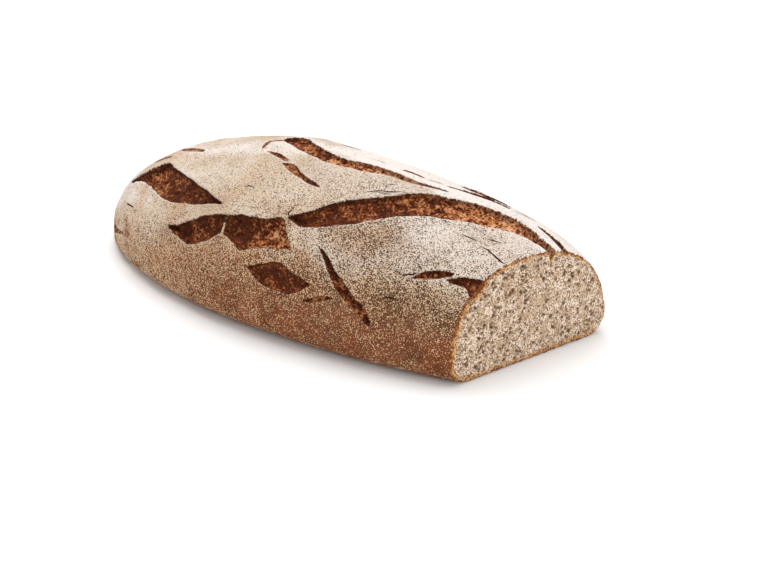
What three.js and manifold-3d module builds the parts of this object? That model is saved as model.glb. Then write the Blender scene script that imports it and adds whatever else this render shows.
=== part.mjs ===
// A long rye sourdough loaf, baked free on its flat base, with its heel sliced off at one end.
// Millimetres, +Z up. +X runs along the loaf, from its rounded end to its sliced end, and +Y is its far side.
// The origin is the middle of the loaf's box, on the surface that the loaf stands on.
//
// A place on the crust has two numbers: its reach, counted along X from the rounded end, and its turn,
// counted in degrees around the section: 0 on the near side's widest line, 90 on the crown, 180 on the far side.

import * as THREE from "three";
import { mergeVertices } from "three/addons/utils/BufferGeometryUtils.js";
import Module from "manifold-3d";

// Driving dimensions of the whole loaf, before its heel is cut away.
const loafLength = 365;
const loafWidth = 150;
const loafHeight = 85;
const widestReach = 157; // where the loaf is widest and highest
const beltHeight = 17.5; // height of the widest line above the surface
const baseSink = 6; // how far the round underside would pass below the surface if the base were not flat
const bow = 1.75; // sideways bow of the loaf, at 100 mm from bowReach
const bowReach = 168.5; // where the bowed loaf comes nearest

// Squareness of the outlines: 2 is an ellipse, more is squarer.
const crownSquareness = 2.3;
const undersideSquareness = 2.8;
const roundedEndSquareness = 1.9;
const heelEndSquareness = 2.2;
const heightTaper = 0.92; // below 1, the loaf keeps its height longer than its width towards the ends

// The slice.
const heelLength = 56.5; // cut away from the far end, measured on the middle line
const sliceAngle = 16; // degrees between the slice and a square cut

// Mesh fineness.
const stepsAround = 52;
const stepsAlong = 48;
const tearStepsAcross = 4;
const tearStepsPerStation = 2;

// A tear's cutter starts this far above the crust, and its edges are this share of its full depth.
const tearClearance = 3;
const tearEdgeShare = 0.45;

// Tears where the crust opened in the oven. A station is [place along the loaf in hundredths of its whole
// length, turn of the lower edge, turn of the upper edge], and depth is in mm at the middle of the tear.
const tears = [
  {
    name: "rounded end tear",
    depth: 5,
    stations: [[9.5, 52, 54.5], [12.3, 52, 60.5], [16.2, 48.5, 69], [20, 42.5, 63.5], [25, 40, 57.5],
      [30, 42.5, 52], [35, 46, 47]],
  },
  {
    name: "near side tear, left lens",
    depth: 5.5,
    stations: [[25.5, 25.5, 26.5], [28.2, 21.8, 29.8], [31.5, 20, 35.5], [34.2, 24, 39.8], [37.2, 30, 41]],
  },
  {
    name: "near side tear, right half",
    depth: 6,
    stations: [[37.7, 30.5, 41.5], [40, 28.5, 44], [42, 26.5, 44], [44.7, 29, 45.5], [47.4, 31.5, 48],
      [49.3, 32.5, 42], [51.2, 33.5, 34.5]],
  },
  {
    name: "crown tear",
    depth: 7,
    stations: [[48.2, 48.5, 49.5], [51.2, 47.5, 56.5], [54.8, 51, 67], [59.2, 57.5, 78], [62.5, 66.5, 88],
      [66, 75, 93.5], [71.2, 83.5, 100.5], [77.8, 91, 104], [82.2, 95, 102.5], [90, 92, 97]],
  },
  {
    name: "back tear",
    depth: 4.5,
    stations: [[32.3, 99, 104], [34.5, 96, 107], [38.4, 92.3, 102], [42.5, 90.3, 97.5], [46.6, 89, 94.5],
      [52, 89.7, 96.5], [56.2, 92.5, 97.5], [60.8, 94, 97], [65.8, 99.5, 100.5]],
  },
  {
    name: "short crown tear",
    depth: 2.5,
    stations: [[39.3, 80, 81], [41.1, 77, 82], [43.8, 74.5, 78], [46.6, 72, 75], [49.3, 71, 72]],
  },
  {
    name: "slanting slit",
    depth: 4.5,
    stations: [[55.6, 39.5, 40.5], [57.5, 33.5, 37.5], [59.7, 25.5, 31.5], [61.9, 19, 26], [64.1, 14, 21.5],
      [66, 10.5, 17], [67.1, 8.5, 11]],
  },
  {
    name: "near side leaf tear",
    depth: 3.5,
    stations: [[44.1, 18.5, 19.5], [46.8, 14, 23], [49.9, 12, 26.5], [53.2, 13.5, 23], [56.2, 19.5, 21]],
  },
  {
    name: "small lens tear",
    depth: 3,
    stations: [[71.8, 40, 41], [73.4, 41.5, 46.5], [75.3, 44.5, 50], [77.3, 49, 51.5]],
  },
  {
    name: "sliced wedge tear",
    depth: 4,
    stations: [[76.7, 45.5, 46.5], [78.6, 44.5, 50.5], [81.6, 45, 54], [86, 45, 56]],
  },
  {
    name: "far shoulder crack",
    depth: 2.5,
    stations: [[64.1, 105, 106], [67.9, 108.5, 112.5], [70.7, 111.5, 115], [74, 114.5, 116]],
  },
  {
    name: "sliced far crack",
    depth: 2,
    stations: [[80.5, 112, 113.5], [83.3, 109, 111.5], [90, 104, 106]],
  },
  {
    name: "far side tear near the rounded end",
    depth: 4.5,
    stations: [[15.9, 128, 129.5], [20.5, 123, 134], [26, 125, 136], [32.3, 133, 134.5]],
  },
  {
    name: "far side middle tear",
    depth: 5,
    stations: [[41.1, 141, 142], [46.6, 135, 147], [52.6, 134, 146], [58.9, 140, 142]],
  },
  {
    name: "far side tear near the slice",
    depth: 4.5,
    stations: [[64.7, 128, 129.5], [68.5, 130, 138], [72.9, 135, 144], [77.8, 143, 145]],
  },
  {
    name: "far side leaf tear",
    depth: 3,
    stations: [[56.2, 163, 164], [60.3, 158, 167], [64.7, 160, 163]],
  },
];

const crust = new THREE.MeshStandardMaterial({
  name: "crust",
  color: new THREE.Color(0.72, 0.6, 0.48),
  roughness: 0.9,
  metalness: 0,
});

const wasm = await Module();
wasm.setup();

/** Raise the size of a number to a power and keep its sign. */
function signedPower(value, power) {
  return Math.sign(value) * Math.abs(value) ** power;
}

/** How full the section is at a reach: 1 at the widest place, 0 at both ends. */
function fullness(reach) {
  const towardsHeel = reach > widestReach;
  const span = towardsHeel ? loafLength - widestReach : widestReach;
  const squareness = towardsHeel ? heelEndSquareness : roundedEndSquareness;
  const share = Math.min(Math.abs(reach - widestReach) / span, 1);
  return (1 - share ** squareness) ** (1 / squareness);
}

/** A place on the loaf's round skin, with the underside still whole. */
function skinPoint(reach, turn) {
  const angle = THREE.MathUtils.degToRad(180 - turn);
  const sideways = Math.cos(angle);
  const upwards = Math.sin(angle);
  const squareness = upwards >= 0 ? crownSquareness : undersideSquareness;
  const rise = upwards >= 0 ? loafHeight - beltHeight : beltHeight + baseSink;
  const full = fullness(reach);
  const y = (loafWidth / 2) * full * signedPower(sideways, 2 / squareness);
  const z = (beltHeight + rise * signedPower(upwards, 2 / squareness)) * full ** heightTaper;
  return new THREE.Vector3(reach, y + bow * ((reach - bowReach) / 100) ** 2, z);
}

/** The skin's outward direction at a place. */
function skinNormal(reach, turn) {
  const step = 0.5;
  const along = skinPoint(reach + step, turn).sub(skinPoint(reach - step, turn));
  const around = skinPoint(reach, turn + step).sub(skinPoint(reach, turn - step));
  return along.cross(around).normalize();
}

/** A closed three.js geometry as a solid that can be joined and cut. */
function toSolid(geometry) {
  const mesh = new wasm.Mesh({
    numProp: 3,
    vertProperties: new Float32Array(geometry.attributes.position.array),
    triVerts: new Uint32Array(geometry.index.array),
  });
  return new wasm.Manifold(mesh);
}

/** A geometry with one vertex at each corner, and nothing kept but its position. */
function welded(geometry) {
  geometry.deleteAttribute("normal");
  geometry.deleteAttribute("uv");
  return mergeVertices(geometry);
}

/** Move each vertex of a geometry to where the rule puts it. */
function reshape(geometry, rule) {
  const places = geometry.attributes.position;
  for (let i = 0; i < places.count; i += 1) {
    const moved = rule(new THREE.Vector3().fromBufferAttribute(places, i));
    places.setXYZ(i, moved.x, moved.y, moved.z);
  }
  return geometry;
}

/** The whole loaf with a round underside: a ball whose top pole is the rounded end. */
function wholeLoaf() {
  const ball = welded(new THREE.SphereGeometry(1, stepsAround, stepsAlong));
  const loaf = reshape(ball, (place) => {
    const reach = (loafLength * (1 - place.y)) / 2;
    const turn = THREE.MathUtils.radToDeg(Math.atan2(place.x, place.z));
    return skinPoint(reach, turn);
  });
  return toSolid(loaf);
}

/** A block that takes away all below the surface that the loaf stands on. */
function belowBase() {
  const size = 2 * loafLength;
  const block = new THREE.BoxGeometry(size, size, size);
  block.translate(0, 0, -size / 2);
  return toSolid(welded(block));
}

/** A block that takes away the heel, up to the slanting slice. */
function heelBlock() {
  const size = 2 * loafLength;
  const block = new THREE.BoxGeometry(size, size, size);
  block.translate(size / 2, 0, 0);
  block.rotateZ(THREE.MathUtils.degToRad(-sliceAngle));
  block.translate(loafLength - heelLength, 0, 0);
  return toSolid(welded(block));
}

/** The trough that one tear cuts: flat above the crust, and hollow below it, shallow at its two tips. */
function tearTrough({ depth, stations }) {
  const path = new THREE.CatmullRomCurve3(stations.map((station) => new THREE.Vector3(...station)));
  const stepsLengthways = tearStepsPerStation * (stations.length - 1);
  const block = welded(new THREE.BoxGeometry(1, 1, 1, stepsLengthways, tearStepsAcross, 1));
  const trough = reshape(block, (place) => {
    const along = place.x + 0.5;
    const across = place.y + 0.5;
    const { x: share, y: lowTurn, z: highTurn } = path.getPoint(along);
    const reach = (share / 100) * loafLength;
    const turn = THREE.MathUtils.lerp(lowTurn, highTurn, across);
    const hollow = tearEdgeShare + (1 - tearEdgeShare) * (1 - (2 * across - 1) ** 2);
    const tipShare = Math.sqrt(Math.max(Math.sin(Math.PI * along), 0));
    const floor = tearClearance / 2 - (depth + tearClearance / 2) * hollow * tipShare;
    const lift = place.z > 0 ? tearClearance : floor;
    return skinPoint(reach, turn).addScaledVector(skinNormal(reach, turn), lift);
  });
  return toSolid(trough);
}

/** A solid as a three.js geometry. */
function toGeometry(solid) {
  const { vertProperties, triVerts } = solid.getMesh();
  const geometry = new THREE.BufferGeometry();
  geometry.setAttribute("position", new THREE.BufferAttribute(vertProperties, 3));
  geometry.setIndex(new THREE.BufferAttribute(triVerts, 1));
  geometry.computeVertexNormals();
  return geometry;
}

/** Put a geometry's box over the origin, standing on z = 0. */
function centreOnBase(geometry) {
  geometry.computeBoundingBox();
  const middle = geometry.boundingBox.getCenter(new THREE.Vector3());
  geometry.translate(-middle.x, -middle.y, -geometry.boundingBox.min.z);
  return geometry;
}

/** The loaf as one baked piece: flat below, sliced at one end, and torn open along its crust. */
function makeLoaf() {
  let solid = wholeLoaf().subtract(belowBase()).subtract(heelBlock());
  for (const tear of tears) {
    solid = solid.subtract(tearTrough(tear));
  }
  const loaf = new THREE.Mesh(centreOnBase(toGeometry(solid)), crust);
  loaf.name = "loaf";
  return loaf;
}

const object = new THREE.Group();
object.add(makeLoaf());

export default object;
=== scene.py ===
"""A long rye sourdough loaf: flour-dusted crust torn open in the oven, and its heel sliced away.

The loaf is one baked piece. Its mesh starts as a ball that is drawn out to the loaf's own formula, cut flat
below and sliced at one end, then remeshed finely and worked over: lumps, tears with curled lips, wrinkles,
and the pores of the crumb on the sliced face. Lengths inside the classes are in millimetres, counted along
the loaf from its rounded end. The finished mesh is in metres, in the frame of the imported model.
"""

import logging
import math
from collections.abc import Callable
from dataclasses import dataclass, field, fields
from enum import Enum

import bpy
import numpy as np
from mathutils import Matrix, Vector


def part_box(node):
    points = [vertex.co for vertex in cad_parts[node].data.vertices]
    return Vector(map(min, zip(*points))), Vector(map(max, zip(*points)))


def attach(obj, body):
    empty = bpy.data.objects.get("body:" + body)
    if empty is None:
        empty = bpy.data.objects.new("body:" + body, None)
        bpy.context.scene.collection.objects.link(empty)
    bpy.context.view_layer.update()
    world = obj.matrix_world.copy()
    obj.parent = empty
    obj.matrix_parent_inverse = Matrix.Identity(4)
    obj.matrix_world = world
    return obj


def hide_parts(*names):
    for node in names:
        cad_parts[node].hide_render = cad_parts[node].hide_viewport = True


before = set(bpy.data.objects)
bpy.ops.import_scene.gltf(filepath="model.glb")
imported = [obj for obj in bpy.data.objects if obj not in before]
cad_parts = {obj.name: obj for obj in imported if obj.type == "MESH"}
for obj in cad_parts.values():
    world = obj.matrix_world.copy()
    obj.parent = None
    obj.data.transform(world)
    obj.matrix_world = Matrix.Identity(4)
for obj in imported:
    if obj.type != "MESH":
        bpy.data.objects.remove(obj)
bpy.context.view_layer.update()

MM = 0.001
LOAF_NODE = "loaf"
LOAF_BODY = "root"
END_GAP = 0.05  # mm kept from the rounded tip, where the section shrinks to a point
NO_TEAR = -60.0  # mm inside a tear, where none is near
LOOKED_AT = (238.43, -43.24, 40.0)  # mm: from the rounded end, from the middle line, and above the base

log = logging.getLogger("loaf")

Colour = tuple[float, float, float, float]


class Place(Enum):
    """Where on the loaf a vertex lies."""

    CRUST = 0
    SLICE = 1
    BASE = 2


def smooth_step(low: float, high: float, value: np.ndarray) -> np.ndarray:
    """Rise smoothly from 0 at low to 1 at high.

    Args:
        low: Value at which the rise starts.
        high: Value at which the rise ends.
        value: Values to shape.

    Returns:
        The shaped values, from 0 to 1.
    """
    share = np.clip((value - low) / (high - low), 0.0, 1.0)
    return share * share * (3.0 - 2.0 * share)


def hump(value: np.ndarray, start: float, full: float, fading: float, end: float) -> np.ndarray:
    """Rise smoothly from 0 to 1 between start and full, and fall back to 0 between fading and end."""
    return smooth_step(start, full, value) * smooth_step(end, fading, value)


def signed_power(value: np.ndarray, power: float) -> np.ndarray:
    """Raise the size of each number to a power and keep its sign."""
    return np.sign(value) * np.abs(value) ** power


@dataclass(frozen=True)
class Cloud:
    """One pattern of unevenness: its size in mm, layers and strength, where it is read, and its stretch."""

    size: float
    layers: int
    strength: float = 1.0
    shift: float = 0.0
    stretch: tuple[float, float, float] = (1.0, 1.0, 1.0)


class Unevenness:
    """Smooth random unevenness in space, the same on every run."""

    lattice = 256
    layer_shift = 31.7

    def __init__(self, seed: int) -> None:
        """Draw the lattice of slopes.

        Args:
            seed: Number that fixes the random draw.
        """
        draw = np.random.RandomState(seed)
        self.order = np.concatenate([draw.permutation(self.lattice)] * 2)
        slopes = draw.normal(size=(self.lattice, 3))
        self.slopes = slopes / np.linalg.norm(slopes, axis=1, keepdims=True)

    def at(self, places: np.ndarray, wavelength: float) -> np.ndarray:
        """Read the unevenness.

        Args:
            places: Points, one per row, in mm.
            wavelength: Distance over which it changes, in mm.

        Returns:
            One value per point, mostly from -0.6 to 0.6.
        """
        scaled = places / wavelength
        cell = np.floor(scaled).astype(int)
        inside = scaled - cell
        weight = inside**3 * (inside * (inside * 6.0 - 15.0) + 10.0)
        total = np.zeros(len(places))
        for corner in np.ndindex(2, 2, 2):
            step = np.array(corner)
            spot = (cell + step) % self.lattice
            hashed = self.order[self.order[self.order[spot[:, 0]] + spot[:, 1]] + spot[:, 2]]
            slope = self.slopes[hashed]
            rise = np.einsum("ij,ij->i", slope, inside - step)
            share = np.prod(np.where(step == 1, weight, 1.0 - weight), axis=1)
            total += rise * share
        return total

    def layered(self, places: np.ndarray, wavelength: float, layers: int) -> np.ndarray:
        """Add up layers, each half as long and half as strong as the last.

        Args:
            places: Points, one per row, in mm.
            wavelength: Distance over which the first layer changes, in mm.
            layers: How many layers are added.

        Returns:
            One value per point.
        """
        total = np.zeros(len(places))
        for layer in range(layers):
            total += self.at(places + self.layer_shift * layer, wavelength / 2**layer) / 2**layer
        return total

    def drawn(self, cloud: Cloud, places: np.ndarray) -> np.ndarray:
        """Read a cloud at points, one per row."""
        spread = places * np.array(cloud.stretch) + cloud.shift
        return cloud.strength * self.layered(spread, cloud.size, cloud.layers)


@dataclass(frozen=True)
class LoafShape:
    """The loaf's outline as a formula.

    A place on the skin has a reach, in mm from the rounded end, and a turn, in degrees around the section: 0
    on the near side's widest line, 90 on the crown, 180 on the far side.
    """

    width: float
    height: float
    length: float = 365.0
    widest_reach: float = 157.0
    belt_height: float = 17.5
    base_sink: float = 6.0
    bow: float = 1.75
    bow_reach: float = 168.5
    crown_squareness: float = 2.3
    underside_squareness: float = 2.8
    rounded_end_squareness: float = 1.9
    heel_end_squareness: float = 2.2
    height_taper: float = 0.92
    slice_reach: float = 308.5
    slice_angle: float = 16.0

    def fullness(self, reach: np.ndarray) -> np.ndarray:
        """How full the section is.

        Args:
            reach: Distances along the loaf.

        Returns:
            Shares, 1 at the widest place and 0 at both ends.
        """
        towards_heel = reach > self.widest_reach
        span = np.where(towards_heel, self.length - self.widest_reach, self.widest_reach)
        squareness = np.where(towards_heel, self.heel_end_squareness, self.rounded_end_squareness)
        share = np.clip(np.abs(reach - self.widest_reach) / span, 0.0, 1.0)
        return (1.0 - share**squareness) ** (1.0 / squareness)

    def middle_line(self, reach: np.ndarray) -> np.ndarray:
        """How far the loaf's middle line is bowed sideways at a reach."""
        return self.bow * ((reach - self.bow_reach) / 100.0) ** 2

    def skin(self, reach: np.ndarray, turn: np.ndarray) -> np.ndarray:
        """Find points on the round skin, with the underside still whole.

        Args:
            reach: Distances along the loaf.
            turn: Turns around it.

        Returns:
            Points, one per row.
        """
        angle = np.radians(180.0 - turn)
        sideways, upwards = np.cos(angle), np.sin(angle)
        over = upwards >= 0.0
        power = 2.0 / np.where(over, self.crown_squareness, self.underside_squareness)
        rise = np.where(over, self.height - self.belt_height, self.belt_height + self.base_sink)
        full = self.fullness(reach)
        across = self.width / 2.0 * full * signed_power(sideways, power)
        up = (self.belt_height + rise * signed_power(upwards, power)) * full**self.height_taper
        return np.stack([reach, across + self.middle_line(reach), up], axis=-1)

    def locate(self, points: np.ndarray) -> tuple[np.ndarray, np.ndarray]:
        """Find the turn of points on or inside the loaf.

        Args:
            points: Points, one per row.

        Returns:
            The turn of each point, and how far under the skin it lies.
        """
        reach = np.clip(points[:, 0], END_GAP, self.length - END_GAP)
        full = self.fullness(reach)
        taper = full**self.height_taper
        offset = points[:, 2] - self.belt_height * taper
        over = offset >= 0.0
        squareness = np.where(over, self.crown_squareness, self.underside_squareness)
        rise = np.where(over, self.height - self.belt_height, self.belt_height + self.base_sink)
        sideways = (points[:, 1] - self.middle_line(reach)) / (self.width / 2.0 * full)
        upwards = offset / (rise * taper)
        share = (np.abs(sideways) ** squareness + np.abs(upwards) ** squareness) ** (1.0 / squareness)
        share = np.maximum(share, 1e-6)
        cosine = signed_power(sideways / share, squareness / 2.0)
        sine = signed_power(upwards / share, squareness / 2.0)
        turn = 180.0 - np.degrees(np.arctan2(sine, cosine))
        turn = np.where(turn > 270.0, turn - 360.0, turn)
        skin = self.skin(reach, turn)
        centre = np.stack([reach, self.middle_line(reach), self.belt_height * taper], axis=-1)
        depth = (1.0 - share) * np.linalg.norm(skin - centre, axis=1)
        return turn, depth

    def outward(self, reach: np.ndarray, turn: np.ndarray) -> np.ndarray:
        """Find the skin's outward directions.

        Args:
            reach: Distances along the loaf.
            turn: Turns around it.

        Returns:
            Unit directions, one per row.
        """
        reach = np.clip(reach, 1.0, self.length - 1.0)
        along = self.skin(reach + 0.5, turn) - self.skin(reach - 0.5, turn)
        around = self.skin(reach, turn + 0.5) - self.skin(reach, turn - 0.5)
        normal = np.cross(along, around)
        return normal / np.maximum(np.linalg.norm(normal, axis=1, keepdims=True), 1e-9)

    def upward(self, reach: np.ndarray, turn: np.ndarray) -> np.ndarray:
        """Find the directions along the skin in which the turn grows, one per row."""
        around = self.skin(reach, turn + 0.5) - self.skin(reach, turn - 0.5)
        return around / np.maximum(np.linalg.norm(around, axis=1, keepdims=True), 1e-9)

    def unrolled(self, reach: np.ndarray, turn: np.ndarray) -> np.ndarray:
        """Lay places on the skin out flat, so that distances between near ones are true.

        Args:
            reach: Distances along the loaf.
            turn: Turns around it.

        Returns:
            Flat points, one per row.
        """
        turns = np.arange(-90.0, 271.0, 1.0)
        ring = self.skin(np.full_like(turns, self.widest_reach), turns)
        steps = np.linalg.norm(np.diff(ring, axis=0), axis=1)
        lengths = np.concatenate([[0.0], np.cumsum(steps)])
        around = np.interp(turn, turns, lengths) * self.fullness(reach)
        return np.stack([reach, around], axis=-1)

    def behind_slice(self, points: np.ndarray) -> np.ndarray:
        """How far points lie behind the plane of the slice.

        Args:
            points: Points, one per row.

        Returns:
            Distances, below 0 in front of the plane.
        """
        lean = math.radians(self.slice_angle)
        ahead = (points[:, 0] - self.slice_reach) * math.cos(lean) - points[:, 1] * math.sin(lean)
        return -ahead

    def slice_normal(self) -> np.ndarray:
        """The sliced face's outward direction."""
        lean = math.radians(self.slice_angle)
        return np.array([math.cos(lean), -math.sin(lean), 0.0])


@dataclass(frozen=True)
class Spots:
    """Places on the unsculpted loaf: points, one per row, and the reach and turn of each."""

    points: np.ndarray
    reach: np.ndarray
    turn: np.ndarray

    @property
    def climb(self) -> np.ndarray:
        """Turn above the nearer side's widest line, which makes the crown 90."""
        return np.minimum(self.turn, 180.0 - self.turn)


@dataclass(frozen=True)
class Tear:
    """A place where the crust opened in the oven.

    A station is (place along the loaf in hundredths of its whole length, turn of the lower edge, turn of the
    upper edge). Depth is at the middle, and lip is how far the crust curls up along the upper edge. Glow is
    how brightly the torn dough baked at the first and at the last station: 0 for near black, 1 for orange.
    """

    name: str
    depth: float
    lip: float
    glow: tuple[float, float]
    stations: tuple[tuple[float, float, float], ...]

    def edges(self, share: np.ndarray) -> tuple[np.ndarray, np.ndarray]:
        """Find the two edges' turns at places along the tear.

        Args:
            share: Places along the loaf, in hundredths of its whole length.

        Returns:
            The turns of the lower and of the upper edge.
        """
        knots = np.array(self.stations)
        low = smooth_through(knots[:, 0], knots[:, 1], share)
        high = smooth_through(knots[:, 0], knots[:, 2], share)
        return low, high

    def outline(self, shape: LoafShape) -> np.ndarray:
        """Walk round the tear's edge on the unrolled skin.

        Args:
            shape: The loaf that is torn.

        Returns:
            Flat points round the edge, one per row.
        """
        knots = [station[0] for station in self.stations]
        share = np.linspace(knots[0], knots[-1], 12 * len(knots))
        low, high = self.edges(share)
        reach = share / 100.0 * shape.length
        lower = shape.unrolled(reach, low)
        upper = shape.unrolled(reach, high)
        return np.concatenate([lower, upper[::-1]])

    def across(self, shape: LoafShape, reach: np.ndarray, turn: np.ndarray) -> np.ndarray:
        """How far places lie across the tear.

        Args:
            shape: The loaf that is torn.
            reach: Distances along it.
            turn: Turns around it.

        Returns:
            Shares, 0 on the lower edge and 1 on the upper edge.
        """
        knots = [station[0] for station in self.stations]
        share = np.clip(reach / shape.length * 100.0, knots[0], knots[-1])
        low, high = self.edges(share)
        return (turn - low) / np.maximum(high - low, 0.5)


def smooth_through(knots: np.ndarray, values: np.ndarray, at: np.ndarray) -> np.ndarray:
    """Draw a smooth curve through values that are given at knots.

    Args:
        knots: Rising places of the given values.
        values: The given values.
        at: Places where the curve is read.

    Returns:
        The curve's values.
    """
    slopes = np.gradient(values, knots)
    index = np.clip(np.searchsorted(knots, at) - 1, 0, len(knots) - 2)
    span = knots[index + 1] - knots[index]
    t = (at - knots[index]) / span
    start, end = values[index], values[index + 1]
    leave, arrive = slopes[index] * span, slopes[index + 1] * span
    rising = t * t * (3.0 - 2.0 * t)
    curve = start * (1.0 - rising) + end * rising
    return curve + leave * (t**3 - 2.0 * t**2 + t) + arrive * (t**3 - t**2)


def close_to(flat: np.ndarray, outline: np.ndarray, margin: float) -> np.ndarray:
    """Find the rows of the flat points that lie within a margin of an outline's box."""
    low, high = outline.min(axis=0) - margin, outline.max(axis=0) + margin
    return np.nonzero(((flat > low) & (flat < high)).all(axis=1))[0]


def distance_to_outline(points: np.ndarray, outline: np.ndarray) -> np.ndarray:
    """Measure flat points against a closed outline.

    Args:
        points: Flat points, one per row.
        outline: The outline's corners, one per row.

    Returns:
        Distances to the outline, above 0 for points inside it.
    """
    nearest = np.full(len(points), np.inf)
    inside = np.zeros(len(points), dtype=bool)
    for start, end in zip(outline, np.roll(outline, -1, axis=0)):
        edge = end - start
        size = max(float(edge @ edge), 1e-12)
        share = np.clip((points - start) @ edge / size, 0.0, 1.0)
        gap = points - start - share[:, None] * edge
        nearest = np.minimum(nearest, np.einsum("ij,ij->i", gap, gap))
        crosses = (start[1] > points[:, 1]) != (end[1] > points[:, 1])
        if abs(edge[1]) > 1e-12:
            cut = start[0] + (points[:, 1] - start[1]) * edge[0] / edge[1]
            inside ^= crosses & (points[:, 0] < cut)
    distance = np.sqrt(nearest)
    return np.where(inside, distance, -distance)


TEARS = (
    Tear("rounded_end_tear", 4.2, 1.4, (0.45, 0.05),
         ((9.3, 52, 54), (12.3, 51.5, 60.5), (16.2, 48.5, 69), (20, 42.5, 63.5), (25, 40, 57.5),
          (30, 42.5, 52), (35, 46, 47))),
    Tear("left_lens", 4.8, 1.0, (0.25, 0.15),
         ((25.5, 25.5, 26.5), (28.2, 21.8, 29.8), (31.5, 20, 35.5), (34.2, 24, 39.8), (37.3, 30.5, 41.2))),
    Tear("middle_tear", 5.0, 1.0, (0.00, 0.75),
         ((37.65, 31, 41.5), (40, 28.5, 44), (41.6, 25.5, 44), (44.7, 29, 45.5), (47.4, 31.5, 48),
          (49.3, 32.5, 42), (51.2, 33.5, 34.5))),
    Tear("crown_tear", 4.4, 0.9, (0.12, 1.00),
         ((48.2, 48.8, 49.8), (51.2, 46.6, 56.5), (54.8, 50.5, 67), (59.2, 57.5, 78), (62.5, 66.5, 88),
          (66, 75, 93.5), (71.2, 83.5, 100.5), (77.8, 91, 104), (82.2, 95, 102.5), (90, 92, 97))),
    Tear("back_tear", 3.0, 0.5, (0.45, 1.00),
         ((32.3, 99, 104), (34.5, 96, 107), (38.4, 92.3, 102), (42.5, 90.3, 97.5), (46.6, 89, 94.5),
          (52, 89.7, 96.5), (56.2, 92.5, 97.5), (60.8, 94, 97), (65.8, 99.5, 100.5))),
    Tear("short_crown_tear", 1.8, 0.3, (0.55, 0.45),
         ((39.3, 80, 81), (41.1, 77, 82), (43.8, 74.5, 78), (46.6, 72, 75), (49.3, 71, 72))),
    Tear("crown_scuff", 0.9, 0.2, (0.60, 0.50),
         ((34, 86.2, 86.8), (36.4, 84.3, 87), (39.4, 82, 84.3))),
    Tear("slanting_slit", 3.6, 0.8, (0.10, 0.40),
         ((55.6, 39.5, 40.5), (57.5, 33.5, 37.5), (59.7, 25.5, 31.5), (61.9, 19, 26), (64.1, 14, 21.5),
          (66, 10.5, 17), (67.1, 8.5, 11))),
    Tear("leaf_tear", 3.2, 0.7, (0.20, 0.20),
         ((44.1, 18.5, 19.5), (46.8, 14, 23), (49.9, 12, 26.5), (53.2, 13.5, 23), (56.2, 19.5, 21))),
    Tear("low_scuff", 1.6, 0.4, (0.45, 0.45),
         ((55.3, 11, 12), (57.5, 12.5, 15.5), (59.2, 15, 17.3), (60.6, 17, 17.6))),
    Tear("small_lens", 2.4, 0.5, (0.50, 0.40),
         ((71.8, 40, 41), (73.4, 41.5, 46.5), (75.3, 44.5, 50), (77.3, 49, 51.5))),
    Tear("sliced_wedge", 3.4, 0.6, (0.00, 0.35),
         ((76.7, 45.5, 46.5), (78.6, 45, 50.5), (79.8, 45.5, 52.5), (80.7, 41.5, 54), (81.8, 37, 55),
          (86, 34, 57))),
    Tear("far_shoulder_crack", 2.2, 0.5, (0.40, 0.55),
         ((63.8, 105, 106), (67.9, 108.5, 112.5), (70.7, 111.5, 115), (74, 114.5, 116))),
    Tear("far_edge_crack", 2.4, 0.3, (0.55, 0.65),
         ((64.0, 116, 119.5), (67.0, 113.5, 123), (70.5, 115, 124), (73.5, 118, 121.5))),
    Tear("sliced_far_crack", 2.0, 0.5, (0.40, 0.50),
         ((80.0, 111.5, 113), (83.3, 108, 112.5), (90, 102, 107.5))),
    Tear("crown_nick", 1.6, 0.3, (0.50, 0.50),
         ((56, 102.3, 103.3), (57.9, 103, 105.3), (60, 103.2, 104.2))),
    Tear("far_crown_streak", 1.4, 0.2, (0.40, 0.40),
         ((40.2, 114, 114.8), (42.3, 113, 115.4), (44.8, 113.2, 114))),
    Tear("rounded_end_scuff", 1.2, 0.2, (0.65, 0.65),
         ((10.2, 75.5, 79.5), (12.2, 74, 81), (15.0, 75.5, 78.5))),
    Tear("rounded_end_streak", 1.0, 0.2, (0.65, 0.60),
         ((13.8, 87, 90), (16.4, 84, 88.5), (21.2, 81.5, 84))),
    Tear("rounded_end_dent", 1.5, 0.2, (0.50, 0.50),
         ((5.2, 4, 6), (6.6, 4, 11), (8.4, 6, 10), (11.8, 9, 11))),
    Tear("far_rounded_tear", 4.0, 0.9, (0.50, 0.35),
         ((15.9, 127, 128.5), (18.6, 122, 132), (22.5, 124.5, 138), (27.5, 129, 136), (32.3, 133, 134.5))),
    Tear("far_middle_tear", 4.4, 1.0, (0.30, 0.60),
         ((41.1, 141, 142), (43.6, 136, 144.5), (47.5, 133.5, 149.5), (52, 137, 146),
          (55.6, 136.5, 144), (58.9, 141, 142))),
    Tear("far_slice_tear", 4.0, 0.9, (0.30, 0.50),
         ((64.7, 128, 129.5), (67, 128.5, 136.5), (69.6, 132, 141.5), (73.5, 137.5, 143.5),
          (77.8, 143.5, 145))),
    Tear("far_leaf_tear", 3.0, 0.7, (0.30, 0.30),
         ((56.2, 163, 164), (58.2, 157.5, 165.5), (61.3, 159, 168.5), (64.7, 161.5, 163.5))),
)


@dataclass(frozen=True)
class Crack:
    """A hairline crack in the crust: its half width in mm, and its route as (hundredths of length, turn)."""

    half_width: float
    route: tuple[tuple[float, float], ...]


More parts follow.
